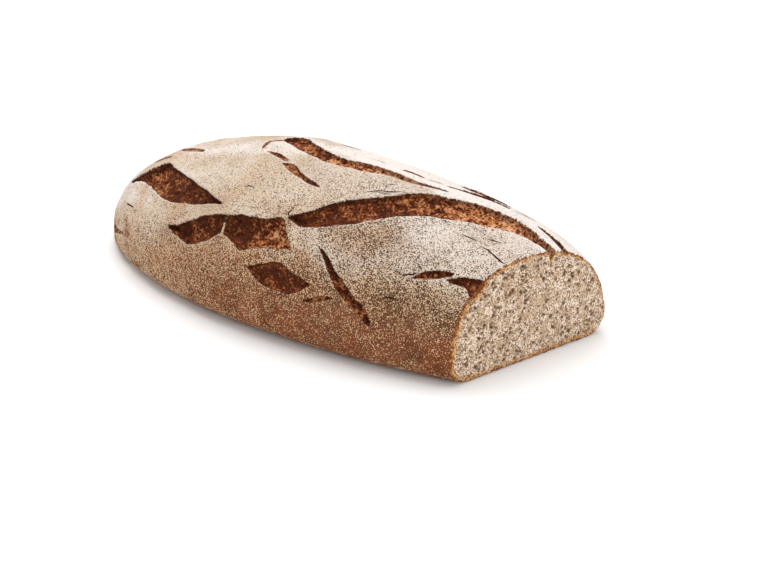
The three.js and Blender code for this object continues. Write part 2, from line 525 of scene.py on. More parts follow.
CRACKS = (
    Crack(0.55, ((56.5, 77.3), (58.0, 82.1), (60.0, 84.9), (60.9, 87.7))),
    Crack(0.45, ((70.1, 39.0), (70.9, 41.6), (71.6, 42.0), (72.4, 44.4))),
    Crack(0.40, ((74.4, 77.0), (75.6, 77.1), (76.8, 77.8))),
    Crack(0.38, ((77.6, 75.0), (79.0, 75.3), (80.6, 73.3), (81.9, 71.4), (82.7, 71.3))),
    Crack(0.35, ((77.6, 82.2), (78.8, 83.2), (79.8, 84.3))),
    Crack(0.35, ((68.5, 25.6), (69.6, 26.2), (71.2, 26.4))),
    Crack(0.35, ((11.3, 32.5), (12.6, 32.0), (14.2, 31.0))),
    Crack(0.35, ((48.0, 54.0), (47.6, 51.6), (48.3, 50.4))),
    Crack(0.30, ((36.8, 59.0), (37.8, 60.4), (39.0, 60.2))),
    Crack(1.60, ((32.5, 87.8), (31.6, 91.5), (30.9, 96.6), (32.0, 98.6), (34.0, 100.6))),
    Crack(0.45, ((49.1, 102.5), (50.7, 103.9), (52.5, 104.4))),
    Crack(0.55, ((60.6, 104.2), (61.7, 106.0), (62.8, 106.8))),
    Crack(0.55, ((74.4, 117.5), (76.4, 119.0), (78.4, 119.5))),
)


@dataclass(frozen=True)
class Dusting:
    """A patch where more or less flour fell.

    Its middle is (hundredths of length, turn), its half length is in mm along the loaf, its half breadth is
    in degrees round the section, and cover is how much it adds or takes.
    """

    middle: tuple[float, float]
    half_length: float
    half_breadth: float
    cover: float

    def at(self, shape: LoafShape, spots: Spots) -> np.ndarray:
        """How much cover the patch adds.

        Args:
            shape: The loaf.
            spots: Places on it.

        Returns:
            Cover, below 0 where the patch takes flour away.
        """
        along = (spots.reach - self.middle[0] / 100.0 * shape.length) / self.half_length
        around = (spots.turn - self.middle[1]) / self.half_breadth
        return self.cover * np.exp(-(along**2) - around**2)


DUSTINGS = (
    Dusting((74.5, 68.0), 24.0, 9.0, 0.13),
    Dusting((61.5, 55.0), 34.0, 8.0, -0.12),
    Dusting((59.0, 39.0), 18.0, 9.0, 0.10),
    Dusting((75.0, 33.0), 20.0, 6.0, -0.08),
    Dusting((27.0, 84.0), 26.0, 12.0, 0.10),
    Dusting((24.0, 74.0), 12.0, 7.0, -0.12),
)


@dataclass
class Torn:
    """What the tears do to each vertex.

    Inside is how far in the nearest tear it lies, across is where across it, and glow how brightly it baked.
    Sunk and lift move the vertex in and out, and shove moves it round the section.
    """

    inside: np.ndarray
    across: np.ndarray
    glow: np.ndarray
    sunk: np.ndarray
    lift: np.ndarray
    shove: np.ndarray

    @classmethod
    def whole(cls, count: int) -> "Torn":
        """Start with no tear anywhere."""
        across, sunk, lift, shove = np.zeros((4, count))
        return cls(np.full(count, NO_TEAR), across, np.full(count, 0.5), sunk, lift, shove)


@dataclass
class Findings:
    """What the finishes read at each vertex: every field becomes an attribute of the mesh."""

    tear: np.ndarray
    across: np.ndarray
    glow: np.ndarray
    rim: np.ndarray
    pore: np.ndarray
    flour: np.ndarray
    grit: np.ndarray
    warmth: np.ndarray
    crack: np.ndarray
    crack_width: np.ndarray


@dataclass(frozen=True)
class Crumb:
    """The open crumb that the slice shows: pores scattered over the sliced face."""

    pores: int = 900
    smallest: float = 0.40
    largest: float = 1.4
    rarity: float = 3.5
    deepest: float = 0.95
    seed: int = 41

    def bowls(self, flat: np.ndarray) -> np.ndarray:
        """Hollow the face out.

        Args:
            flat: Points on the face, one per row.

        Returns:
            How deep each point lies in a pore.
        """
        draw = np.random.RandomState(self.seed)
        low, high = flat.min(axis=0), flat.max(axis=0)
        depth = np.zeros(len(flat))
        for _ in range(self.pores):
            centre = low + (high - low) * draw.rand(2)
            radius = self.smallest + (self.largest - self.smallest) * draw.rand() ** self.rarity
            stretch = 1.0 + 0.8 * draw.rand()
            heading = math.pi * draw.rand()
            near = np.nonzero(np.abs(flat - centre).max(axis=1) < radius * stretch * 1.3)[0]
            if len(near) == 0:
                continue
            gap = flat[near] - centre
            along = (gap[:, 0] * math.cos(heading) + gap[:, 1] * math.sin(heading)) / stretch
            beside = gap[:, 1] * math.cos(heading) - gap[:, 0] * math.sin(heading)
            bearing = np.arctan2(beside, along)
            waviness = 1.0 + 0.16 * np.sin(3.0 * bearing + 6.0 * heading)
            waviness += 0.1 * np.sin(5.0 * bearing + heading)
            share = np.hypot(along, beside) / (radius * waviness)
            bowl = self.deepest * radius * np.sqrt(np.clip(1.0 - share**2, 0.0, 1.0))
            depth[near] = np.maximum(depth[near], bowl)
        return depth


@dataclass(frozen=True)
class Baking:
    """How the crust baked: where its flour lies, how gritty it looks and how red-brown it turned."""

    shape: LoafShape
    unevenness: Unevenness
    clumps: Cloud = Cloud(30.0, 3, strength=0.20, shift=400.0)
    streaks: Cloud = Cloud(7.0, 2, strength=0.25, shift=800.0, stretch=(0.12, 1.0, 1.0))
    bald_patches: Cloud = Cloud(14.0, 2, shift=700.0, stretch=(1.0, 0.6, 1.6))
    creases: Cloud = Cloud(3.5, 2, shift=900.0, stretch=(0.25, 1.0, 1.0))
    gritty_patches: Cloud = Cloud(24.0, 2, strength=0.50, shift=600.0)
    warm_patches: Cloud = Cloud(30.0, 2, strength=0.35, shift=500.0)

    def flour(self, spots: Spots, torn: Torn) -> np.ndarray:
        """Work out how thickly flour lies on the crust.

        Args:
            spots: Places on the loaf.
            torn: What the tears do there.

        Returns:
            Cover, from 0 for bare crust to 1.3 for thick flour.
        """
        reach, turn = spots.reach, spots.turn
        far_climb = 90.0 - 0.3 * (turn - 90.0) - 0.7 * np.maximum(turn - 120.0, 0.0)
        climb = np.where(turn > 90.0, far_climb, turn)
        cover = 0.15 + 0.12 * smooth_step(240.0, 110.0, reach)
        cover += 0.66 * (smooth_step(-2.0, 86.0, climb) + 0.16 * hump(climb, 20.0, 44.0, 50.0, 86.0))
        cover += 0.40 * smooth_step(175.0, 25.0, reach) * smooth_step(75.0, 20.0, climb)
        cover += 0.10 * hump(climb, 4.0, 16.0, 32.0, 50.0)
        cover -= 0.10 * self.band(spots) * smooth_step(150.0, 210.0, reach) * smooth_step(30.0, 55.0, turn)
        cover += self.far_crown(spots) - self.bald(spots) + self.hem(spots)
        cover += self.unevenness.drawn(self.clumps, spots.points)
        cover += sum(dusting.at(self.shape, spots) for dusting in DUSTINGS)
        # The crust's torn edges hold flour, the lower ones more than the upper ones.
        cover += 0.05 * smooth_step(-5.0, -0.5, torn.inside) * smooth_step(0.2, 0.9, torn.across)
        cover += 0.14 * smooth_step(-1.4, -0.2, torn.inside) * smooth_step(0.4, 0.1, torn.across)
        return np.clip(cover, 0.0, 1.3)

    def far_crown(self, spots: Spots) -> np.ndarray:
        """Thicken the flour, in lengthwise streaks, on the far half of the crown towards the heel."""
        streaks = 0.36 + self.unevenness.drawn(self.streaks, spots.points)
        return streaks * hump(spots.turn, 80.0, 102.0, 125.0, 165.0) * smooth_step(100.0, 200.0, spots.reach)

    def bald(self, spots: Spots) -> np.ndarray:
        """Rub flour off in patches, low on the rounded end's near side."""
        patches = smooth_step(0.02, 0.25, self.unevenness.drawn(self.bald_patches, spots.points))
        return 0.50 * patches * smooth_step(90.0, 30.0, spots.reach) * smooth_step(30.0, 4.0, spots.turn)

    def hem(self, spots: Spots) -> np.ndarray:
        """Gather flour in creases just above the base."""
        zone = hump(spots.points[:, 2], 1.5, 3.5, 5.0, 8.0) * smooth_step(90.0, 170.0, spots.reach)
        return 0.45 * zone * smooth_step(0.0, 0.3, self.unevenness.drawn(self.creases, spots.points))

    @staticmethod
    def band(spots: Spots) -> np.ndarray:
        """Pick out the sides between the widest line and the crown."""
        either = smooth_step(104.0, 88.0, spots.turn) + 0.5 * smooth_step(118.0, 140.0, spots.turn)
        return smooth_step(8.0, 36.0, spots.climb) * either

    def grit(self, spots: Spots) -> np.ndarray:
        """Work out how sharply the flour and the dark crust between its grains stand apart.

        Args:
            spots: Places on the loaf.

        Returns:
            Grit, from 0 for soft dusting to 1 for white grains on near-black crust.
        """
        band = self.band(spots) * (0.20 + 0.80 * smooth_step(150.0, 255.0, spots.reach))
        band += 0.25 * smooth_step(110.0, 60.0, spots.reach) * smooth_step(80.0, 50.0, spots.climb)
        patches = self.unevenness.drawn(self.gritty_patches, spots.points)
        return np.clip(0.10 + 0.80 * band + patches, 0.0, 1.0)

    def warmth(self, spots: Spots) -> np.ndarray:
        """Work out how red-brown the bare crust baked, from 0 for grey-brown to 1 for red-brown."""
        low = 0.7 * smooth_step(55.0, 0.0, spots.climb) + 0.40 * smooth_step(115.0, 55.0, spots.reach)
        return np.clip(0.15 + low + self.unevenness.drawn(self.warm_patches, spots.points), 0.0, 1.0)


def corners(mesh: bpy.types.Mesh) -> np.ndarray:
    """Read a mesh's vertices.

    Args:
        mesh: The mesh.

    Returns:
        Points, one per row.
    """
    flat = np.empty(len(mesh.vertices) * 3)
    mesh.vertices.foreach_get("co", flat)
    return flat.reshape(-1, 3)


@dataclass
class RyeLoaf:
    """The whole loaf: its mesh, its sculpting and its two finishes."""

    shape: LoafShape
    origin_reach: float
    crumb: Crumb = Crumb()
    voxel: float = 1.7
    tear_cuts: int = 1
    tear_margin: float = 2.2
    slice_cuts: int = 2
    rim_reach: float = 18.0
    refined_reach: float = 14.0
    tear_reach: float = 22.0
    crack_reach: float = 2.5
    unevenness: Unevenness = field(default_factory=lambda: Unevenness(7))
    swellings: Cloud = Cloud(70.0, 2, strength=2.4)
    dents: Cloud = Cloud(17.0, 2, strength=0.75, shift=200.0)
    wrinkles: Cloud = Cloud(5.0, 2, shift=10.0, stretch=(0.55, 1.0, 1.0))
    pimples: Cloud = Cloud(2.6, 1, strength=0.14, shift=300.0)
    ragged_edge: Cloud = Cloud(9.0, 3, strength=1.3, shift=90.0)
    bubbles: Cloud = Cloud(3.8, 3, strength=0.42, shift=50.0, stretch=(0.7, 1.0, 1.0))
    crumb_grain: Cloud = Cloud(1.6, 2, strength=0.22)
    base_skin: Cloud = Cloud(16.0, 4, strength=1.5)

    def build(self) -> bpy.types.Object:
        """Model the loaf and dress it.

        Returns:
            The finished piece.
        """
        loaf = self.rough_loaf()
        self.remesh(loaf)
        self.refine(loaf)
        self.store(loaf, self.sculpt(loaf))
        self.dress(loaf)
        return loaf

    def read(self, loaf: bpy.types.Object) -> np.ndarray:
        """Read the mesh's points.

        Args:
            loaf: The loaf.

        Returns:
            Points in mm, counted from the rounded end, one per row.
        """
        points = corners(loaf.data) / MM
        points[:, 0] += self.origin_reach
        return points

    def write(self, loaf: bpy.types.Object, points: np.ndarray) -> None:
        """Put points back in the mesh.

        Args:
            loaf: The loaf.
            points: Points in mm, counted from the rounded end, one per row.
        """
        moved = points.copy()
        moved[:, 0] -= self.origin_reach
        loaf.data.vertices.foreach_set("co", (moved * MM).ravel())
        loaf.data.update()

    def rough_loaf(self) -> bpy.types.Object:
        """Draw a ball out to the loaf's outline, flatten it below and slice its heel away.

        Returns:
            The rough loaf.
        """
        bpy.ops.object.select_all(action="DESELECT")
        bpy.ops.mesh.primitive_uv_sphere_add(segments=160, ring_count=140, radius=1.0)
        loaf = bpy.context.object
        loaf.name = "rye_loaf"
        loaf.data.name = "rye_loaf"
        ball = corners(loaf.data)
        reach = self.shape.length * (1.0 + ball[:, 2]) / 2.0
        turn = np.degrees(np.arctan2(ball[:, 1], ball[:, 0]))
        self.write(loaf, self.shape.skin(reach, turn))
        bpy.ops.object.mode_set(mode="EDIT")
        bpy.ops.mesh.select_all(action="SELECT")
        bpy.ops.mesh.remove_doubles(threshold=0.01 * MM)
        bpy.ops.mesh.normals_make_consistent(inside=False)
        bpy.ops.mesh.select_all(action="SELECT")
        bpy.ops.mesh.bisect(plane_co=(0, 0, 0), plane_no=(0, 0, 1), use_fill=True, clear_inner=True)
        bpy.ops.mesh.select_all(action="SELECT")
        slice_place = ((self.shape.slice_reach - self.origin_reach) * MM, 0.0, 0.0)
        bpy.ops.mesh.bisect(plane_co=slice_place, plane_no=tuple(self.shape.slice_normal()),
                            use_fill=True, clear_outer=True)
        bpy.ops.object.mode_set(mode="OBJECT")
        return loaf

    def remesh(self, loaf: bpy.types.Object) -> None:
        """Give the rough loaf an even mesh, and put its vertices back on the outline.

        Args:
            loaf: The rough loaf.
        """
        modifier = loaf.modifiers.new("even_mesh", "REMESH")
        modifier.mode = "VOXEL"
        modifier.voxel_size = self.voxel * MM
        bpy.ops.object.modifier_apply(modifier=modifier.name)
        self.write(loaf, self.snapped(self.read(loaf)))

    def places(self, points: np.ndarray) -> np.ndarray:
        """Sort points into crust, slice and base.

        Args:
            points: Points on the unsculpted loaf, one per row.

        Returns:
            A Place value for each.
        """
        _, depth = self.shape.locate(points)
        behind = self.shape.behind_slice(points)
        return np.argmin(np.abs([depth, behind, points[:, 2]]), axis=0)

    def snapped(self, points: np.ndarray) -> np.ndarray:
        """Move points exactly onto the skin, the slice or the base, whichever is nearest.

        Args:
            points: Points near the unsculpted loaf's surface, one per row.

        Returns:
            The moved points.
        """
        place = self.places(points)
        moved = points.copy()
        crust = place == Place.CRUST.value
        turn, _ = self.shape.locate(points[crust])
        reach = np.clip(points[crust, 0], END_GAP, self.shape.length)
        moved[crust] = self.shape.skin(reach, turn)
        sliced = place == Place.SLICE.value
        moved[sliced] += self.shape.behind_slice(points[sliced])[:, None] * self.shape.slice_normal()
        moved[place == Place.BASE.value, 2] = 0.0
        moved[:, 2] = np.maximum(moved[:, 2], 0.0)
        return moved

    def refine(self, loaf: bpy.types.Object) -> None:
        """Make the mesh finer where the loaf has fine shapes: in and round its tears, and on the slice.

        Args:
            loaf: The evenly meshed loaf.
        """
        points = self.read(loaf)
        turn, _ = self.shape.locate(points)
        tear = self.tear_distance(points[:, 0], turn)
        sliced = self.places(points) == Place.SLICE.value
        self.subdivide(loaf, sliced, self.slice_cuts)
        near = np.zeros(len(loaf.data.vertices), dtype=bool)
        near[: len(points)] = (tear > -self.tear_margin) & ~sliced
        self.subdivide(loaf, near, self.tear_cuts)

    def subdivide(self, loaf: bpy.types.Object, chosen: np.ndarray, cuts: int) -> None:
        """Subdivide the faces whose corners are all chosen.

        Args:
            loaf: The loaf.
            chosen: Which vertices are chosen.
            cuts: How many cuts each edge gets.
        """
        bpy.ops.object.mode_set(mode="EDIT")
        bpy.ops.mesh.select_mode(type="FACE")
        bpy.ops.mesh.select_all(action="DESELECT")
        bpy.ops.object.mode_set(mode="OBJECT")
        for face in loaf.data.polygons:
            face.select = bool(chosen[list(face.vertices)].all())
        bpy.ops.object.mode_set(mode="EDIT")
        bpy.ops.mesh.subdivide(number_cuts=cuts, smoothness=0.0)
        bpy.ops.object.mode_set(mode="OBJECT")

    def tear_distance(self, reach: np.ndarray, turn: np.ndarray) -> np.ndarray:
        """How far places lie inside the nearest tear.

        Args:
            reach: Distances along the loaf.
            turn: Turns around it.

        Returns:
            Distances, below 0 outside every tear.
        """
        flat = self.shape.unrolled(reach, turn)
        nearest = np.full(len(flat), NO_TEAR)
        for tear in TEARS:
            outline = tear.outline(self.shape)
            close = close_to(flat, outline, self.refined_reach)
            found = distance_to_outline(flat[close], outline)
            nearest[close] = np.maximum(nearest[close], found)
        return nearest

    def sculpt(self, loaf: bpy.types.Object) -> Findings:
        """Work the mesh over.

        Args:
            loaf: The refined loaf.

        Returns:
            What was found for each vertex.
        """
        points = self.snapped(self.read(loaf))
        place = self.places(points)
        turn, depth = self.shape.locate(points)
        depth = np.maximum(depth, 0.0)
        spots = Spots(points, np.clip(points[:, 0], END_GAP, self.shape.length), turn)
        torn = self.torn(spots)
        offset = self.skin_offset(spots, depth, torn)
        sliced = place == Place.SLICE.value
        face = points[sliced]
        pore = np.zeros(len(points))
        pore[sliced] = self.crumb.bowls(self.on_slice(face))
        pore[sliced] *= smooth_step(0.6, 2.2, np.minimum(depth[sliced], face[:, 2]))
        sunk = pore[sliced] + self.unevenness.drawn(self.crumb_grain, face)
        offset[sliced] -= sunk[:, None] * self.shape.slice_normal()
        base = place == Place.BASE.value
        offset[base] = 0.0
        offset[base, 2] = np.maximum(self.unevenness.drawn(self.base_skin, points[base]), 0.0)
        moved = points + offset
        moved[:, 2] = np.maximum(moved[:, 2], 0.0)
        self.write(loaf, moved)
        crack, crack_width = self.cracked(spots)
        baking = Baking(self.shape, self.unevenness)
        return Findings(
            tear=torn.inside, across=torn.across, glow=torn.glow, pore=pore,
            crack=crack, crack_width=crack_width,
            rim=np.minimum(depth * (1.0 + smooth_step(30.0, 70.0, turn)), points[:, 2]),
            flour=baking.flour(spots, torn), grit=baking.grit(spots), warmth=baking.warmth(spots))

    def skin_offset(self, spots: Spots, depth: np.ndarray, torn: Torn) -> np.ndarray:
        """Work out how the skin's lumps and tears move each vertex, less the deeper it lies.

        Args:
            spots: Places on the loaf.
            depth: How far under the skin they lie.
            torn: What the tears do there.

        Returns:
            Offsets, one per row, which keep the sliced face flat.
        """
        felt = (1.0 - np.clip(depth / self.rim_reach, 0.0, 1.0)) ** 2
        skinwise = self.lumps(spots.points, torn.inside) + torn.lift - torn.sunk
        offset = self.shape.outward(spots.reach, spots.turn) * (skinwise * felt)[:, None]
        offset += self.shape.upward(spots.reach, spots.turn) * (torn.shove * felt)[:, None]
        near_slice = smooth_step(4.0, 0.5, self.shape.behind_slice(spots.points))
        normal = self.shape.slice_normal()
        return offset - (offset @ normal * near_slice)[:, None] * normal

    def on_slice(self, points: np.ndarray) -> np.ndarray:
        """Lay points of the sliced face out flat.

        Args:
            points: Points on the face, one per row.

        Returns:
            Flat points, one per row: along the cut, and up.
        """
        lean = math.radians(self.shape.slice_angle)
        along = points[:, 1] * math.cos(lean) + (points[:, 0] - self.shape.slice_reach) * math.sin(lean)
        return np.stack([along, points[:, 2]], axis=-1)

    def torn(self, spots: Spots) -> Torn:
        """Work out what the tears do to each vertex.

        Args:
            spots: Places on the loaf.

        Returns:
            What they do.
        """
        flat = self.shape.unrolled(spots.reach, spots.turn)
        ragged = self.unevenness.drawn(self.ragged_edge, spots.points)
        bubbles = self.unevenness.drawn(self.bubbles, spots.points)
        torn = Torn.whole(len(flat))
        for tear in TEARS:
            outline = tear.outline(self.shape)
            close = close_to(flat, outline, self.tear_reach)
            inside = distance_to_outline(flat[close], outline) + ragged[close] * min(1.0, tear.depth / 4.0)
            across = np.clip(tear.across(self.shape, spots.reach[close], spots.turn[close]), -1.0, 2.0)
            upper = smooth_step(0.25, 0.75, across)
            wall = smooth_step(-0.2, 1.0, inside / (2.4 - 1.2 * upper))
            floor = 0.32 + 0.68 * np.sin(math.pi * (0.14 + 0.74 * np.clip(across, 0.0, 1.0)))
            rough = bubbles[close] * smooth_step(0.3, 1.6, inside) * min(1.0, tear.depth / 3.0)
            hollow = wall * tear.depth * (floor + rough)
            outer, inner = np.maximum(-inside, 0.0), np.maximum(inside, 0.0)
            curl = tear.lip * (0.35 + 0.65 * upper) * np.exp(-outer / (2.5 + 3.0 * upper))
            curl *= smooth_step(1.2, -0.2, inside)
            sag = np.exp(-outer / 3.0) - 1.6 * hollow / tear.depth * np.exp(-inner / 3.0)
            better = inside > torn.inside[close]
            rows = close[better]
            first, last = tear.stations[0][0], tear.stations[-1][0]
            passed = smooth_step(first, last, spots.reach[rows] / self.shape.length * 100.0)
            torn.across[rows] = across[better]
            torn.glow[rows] = tear.glow[0] + (tear.glow[1] - tear.glow[0]) * passed
            torn.shove[rows] = -(upper * tear.lip * 0.45 * sag)[better]
            torn.inside[close] = np.maximum(torn.inside[close], inside)
            torn.sunk[close] = np.maximum(torn.sunk[close], hollow)
            torn.lift[close] = np.maximum(torn.lift[close], curl)
        return torn

    def lumps(self, points: np.ndarray, tear: np.ndarray) -> np.ndarray:
        """Work out the crust's lumps and wrinkles.

        Args:
            points: Points on the unsculpted loaf, one per row.
            tear: Distance inside the nearest tear.

        Returns:
            How far each point moves out.
        """
        broad = self.unevenness.drawn(self.swellings, points)
        fine = self.unevenness.drawn(self.dents, points) + self.unevenness.drawn(self.pimples, points)
        fine -= 0.4 * np.abs(self.unevenness.drawn(self.wrinkles, points))
        near_floor = smooth_step(3.0, 16.0, points[:, 2])
        return broad * near_floor + fine * smooth_step(0.0, -1.5, tear) * (0.35 + 0.65 * near_floor)

    def cracked(self, spots: Spots) -> tuple[np.ndarray, np.ndarray]:
        """Work out the hairline cracks.

        Args:
            spots: Places on the loaf.

        Returns:
            Distance from the nearest crack, below 0 on one side of it, and that crack's half width there.
        """
        flat = self.shape.unrolled(spots.reach, spots.turn)
        signed = np.full(len(flat), 9.0)
        width = np.zeros(len(flat))
        for crack in CRACKS:
            route = np.array(crack.route)
            line = self.shape.unrolled(route[:, 0] / 100.0 * self.shape.length, route[:, 1])
            close = close_to(flat, line, 6.0)
            for step, (start, end) in enumerate(zip(line[:-1], line[1:])):
                edge = end - start
                share = (flat[close] - start) @ edge / (edge @ edge)
                held = np.clip(share, 0.0, 1.0)
                gap = flat[close] - start - held[:, None] * edge
                distance = np.linalg.norm(gap, axis=1)
                sign = np.sign(edge[0] * gap[:, 1] - edge[1] * gap[:, 0])
                along = (step + held) / (len(line) - 1)
                taper = np.sqrt(np.clip(1.0 - (2.0 * along - 1.0) ** 2, 0.0, 1.0))
                better = (distance < np.abs(signed[close])) & (distance < self.crack_reach)
                rows = close[better]
                signed[rows] = (sign * distance)[better]
                width[rows] = (crack.half_width * taper)[better] * (np.abs(share[better] - 0.5) < 0.62)
        return signed, width

    def store(self, loaf: bpy.types.Object, found: Findings) -> None:
        """Keep what the finishes need as attributes of the mesh.

        Args:
            loaf: The sculpted loaf.
            found: What was found for each vertex.
        """
        for finding in fields(found):
            attribute = loaf.data.attributes.new(finding.name, "FLOAT", "POINT")
            attribute.data.foreach_set("value", getattr(found, finding.name).astype(np.float32))

    def dress(self, loaf: bpy.types.Object) -> None:
        """Shade the loaf smooth, and give the crust and the slice their finishes.

        Args:
            loaf: The sculpted loaf.
        """
        bpy.ops.object.select_all(action="DESELECT")
        loaf.select_set(True)
        bpy.context.view_layer.objects.active = loaf
        bpy.ops.object.shade_smooth()
        loaf.data.materials.clear()
        loaf.data.materials.append(CrustFinish().material())
        loaf.data.materials.append(CrumbFinish().material())
        middles = np.array([face.center for face in loaf.data.polygons])
        normals = np.array([face.normal for face in loaf.data.polygons])
        middles = middles / MM
        middles[:, 0] += self.origin_reach
        behind = self.shape.behind_slice(middles)
        under_skin = self.shape.locate(middles)[1]
        in_pore = (normals @ self.shape.slice_normal() > -0.2) & (behind < 2.4) & (under_skin > 1.2)
        sliced = (behind < 0.45 * self.voxel) | in_pore
        loaf.data.polygons.foreach_set("material_index", sliced.astype(np.int32))
        loaf.data.update()
        log.info("%s: %d vertices, %d faces", loaf.name, len(loaf.data.vertices), len(loaf.data.polygons))


class Wire:
    """A value in a node tree: a sum that is written with it is worked out by nodes."""

    def __init__(self, wiring: "Wiring", socket: bpy.types.NodeSocket) -> None:
        """Take the socket that the value comes from."""
        self.wiring = wiring
        self.socket = socket

    def __add__(self, other: "Source") -> "Wire":
        """Add."""
        return self.wiring.math("ADD", self, other)

    def __sub__(self, other: "Source") -> "Wire":
        """Subtract."""
        return self.wiring.math("SUBTRACT", self, other)

    def __rsub__(self, other: float) -> "Wire":
        """Subtract from a number."""
        return self.wiring.math("SUBTRACT", other, self)

    def __mul__(self, other: "Source") -> "Wire":
        """Multiply."""
        return self.wiring.math("MULTIPLY", self, other)


Source = Wire | float | Colour


class Wiring:
    """A node tree that is being wired up."""

    def __init__(self, tree: bpy.types.NodeTree) -> None:
        """Take a tree to wire."""
        self.tree = tree

    def node(self, kind: str, **settings: object) -> bpy.types.Node:
        """Add a node.

        Args:
            kind: Blender's name for the kind of node.
            settings: Properties to set on it.

        Returns:
            The node.
        """
        made = self.tree.nodes.new(kind)
        for name, value in settings.items():
            setattr(made, name, value)
        return made

    def feed(self, socket: bpy.types.NodeSocket, source: Source) -> None:
        """Give a socket a plain value, or link it to a wire.

        Args:
            socket: The socket.
            source: The value or wire.
        """
        if isinstance(source, Wire):
            self.tree.links.new(source.socket, socket)
        else:
            socket.default_value = source

    def attribute(self, name: str) -> Wire:
        """Read one of the mesh's attributes."""
        return Wire(self, self.node("ShaderNodeAttribute", attribute_name=name).outputs["Fac"])

    def math(self, operation: str, first: Source, second: Source, clamp: bool = False) -> Wire:
        """Work out a sum.

        Args:
            operation: Blender's name for the operation.
            first: First value.
            second: Second value.
            clamp: Whether the result is held between 0 and 1.

        Returns:
            The result.
        """
        made = self.node("ShaderNodeMath", operation=operation, use_clamp=clamp)
        self.feed(made.inputs[0], first)
        self.feed(made.inputs[1], second)
        return Wire(self, made.outputs[0])

    def span(self, value: Source, low: Source, high: Source, to_low: float = 0.0,
             to_high: float = 1.0) -> Wire:
        """Map a range smoothly onto another.

        Args:
            value: Value to map.
            low: Start of its range.
            high: End of its range.
            to_low: What the start becomes.
            to_high: What the end becomes.

        Returns:
            The mapped value.
        """
        made = self.node("ShaderNodeMapRange", interpolation_type="SMOOTHSTEP")
        for socket, source in zip(made.inputs[:5], (value, low, high, to_low, to_high)):
            self.feed(socket, source)
        return Wire(self, made.outputs[0])

    def noise(self, place: Wire, size: float, detail: float, roughness: float,
              distortion: float = 0.0) -> Wire:
        """Lay a cloudy pattern.

        Args:
            place: Where the pattern is read.
            size: Size of its clouds, in mm.
            detail: How many finer layers it has.
            roughness: How strong the finer layers are.
            distortion: How much it is swirled.

        Returns:
            The pattern, around 0.5.
        """
        made = self.node("ShaderNodeTexNoise")
        settings = {"Vector": place, "Scale": 1.0 / (size * MM), "Detail": detail, "Roughness": roughness,
                    "Distortion": distortion}
        for name, value in settings.items():
            self.feed(made.inputs[name], value)
        return Wire(self, made.outputs[0])

    def mix(self, share: Source, first: Source, second: Source) -> Wire:
        """Mix two colours.

        Args:
            share: How much of the second colour shows.
            first: First colour.
            second: Second colour.

        Returns:
            The mixed colour.
        """
        made = self.node("ShaderNodeMix", data_type="RGBA", clamp_factor=True)
        for place, source in ((0, share), (6, first), (7, second)):
            self.feed(made.inputs[place], source)
        return Wire(self, made.outputs[2])

    def group(self, name: str, make: Callable[[str], bpy.types.NodeTree],
              **inputs: Source) -> dict[str, Wire]:
        """Place a node group, which is made the first time it is asked for.

        Args:
            name: The group's name.
            make: What makes it.
            inputs: Values for its inputs.

        Returns:
            The values that it gives, by name.
        """
        placed = self.node("ShaderNodeGroup", node_tree=bpy.data.node_groups.get(name) or make(name))
        for socket, source in inputs.items():
            self.feed(placed.inputs[socket], source)
        return {socket.name: Wire(self, socket) for socket in placed.outputs}

    def finish(self, colour: Wire, roughness: Source, shine: float, height: Wire, relief: float) -> None:
        """Join a finish to the material's surface.

        Args:
            colour: Its colour.
            roughness: Its roughness.
            shine: How much it reflects.
            height: The height of its fine relief.
            relief: How many mm a height of 1 stands for.
        """
        bump = self.node("ShaderNodeBump")
        for name, source in (("Strength", 1.0), ("Distance", relief * MM), ("Height", height)):
            self.feed(bump.inputs[name], source)
        shader = self.node("ShaderNodeBsdfPrincipled")
        normal = Wire(self, bump.outputs[0])
        for name, source in (("Base Color", colour), ("Roughness", roughness), ("Specular IOR Level", shine),
                             ("Normal", normal)):
            self.feed(shader.inputs[name], source)
        output = self.node("ShaderNodeOutputMaterial")
        self.feed(output.inputs["Surface"], Wire(self, shader.outputs[0]))


def new_material(name: str) -> tuple[bpy.types.Material, Wiring, Wire]:
    """Start a material.

    Args:
        name: Its name.

    Returns:
        The material, its wiring, and the places on the loaf where its patterns are read.
    """
    material = bpy.data.materials.new(name)
    material.use_nodes = True
    wiring = Wiring(material.node_tree)
    wiring.tree.nodes.clear()
    return material, wiring, Wire(wiring, wiring.node("ShaderNodeTexCoord").outputs["Object"])


def new_group(name: str, inputs: tuple[str, ...], outputs: tuple[str, ...]) -> tuple[Wiring, list, list]:
    """Start a shader node group that is read at places and takes and gives numbers.

    Args:
        name: The group's name.
        inputs: The names of the numbers that it takes.
        outputs: The names of the numbers that it gives.

    Returns:
        The wiring, wires for the places and the numbers that come in, and sockets for those that go out.
    """
    tree = bpy.data.node_groups.new(name, "ShaderNodeTree")
    tree.interface.new_socket("Vector", in_out="INPUT", socket_type="NodeSocketVector")
    for socket in inputs:
        tree.interface.new_socket(socket, in_out="INPUT", socket_type="NodeSocketFloat")
    for socket in outputs:
        tree.interface.new_socket(socket, in_out="OUTPUT", socket_type="NodeSocketFloat")
    wiring = Wiring(tree)
    enter, leave = wiring.node("NodeGroupInput"), wiring.node("NodeGroupOutput")
    brought = [Wire(wiring, enter.outputs[socket]) for socket in ("Vector", *inputs)]
    return wiring, brought, [leave.inputs[socket] for socket in outputs]


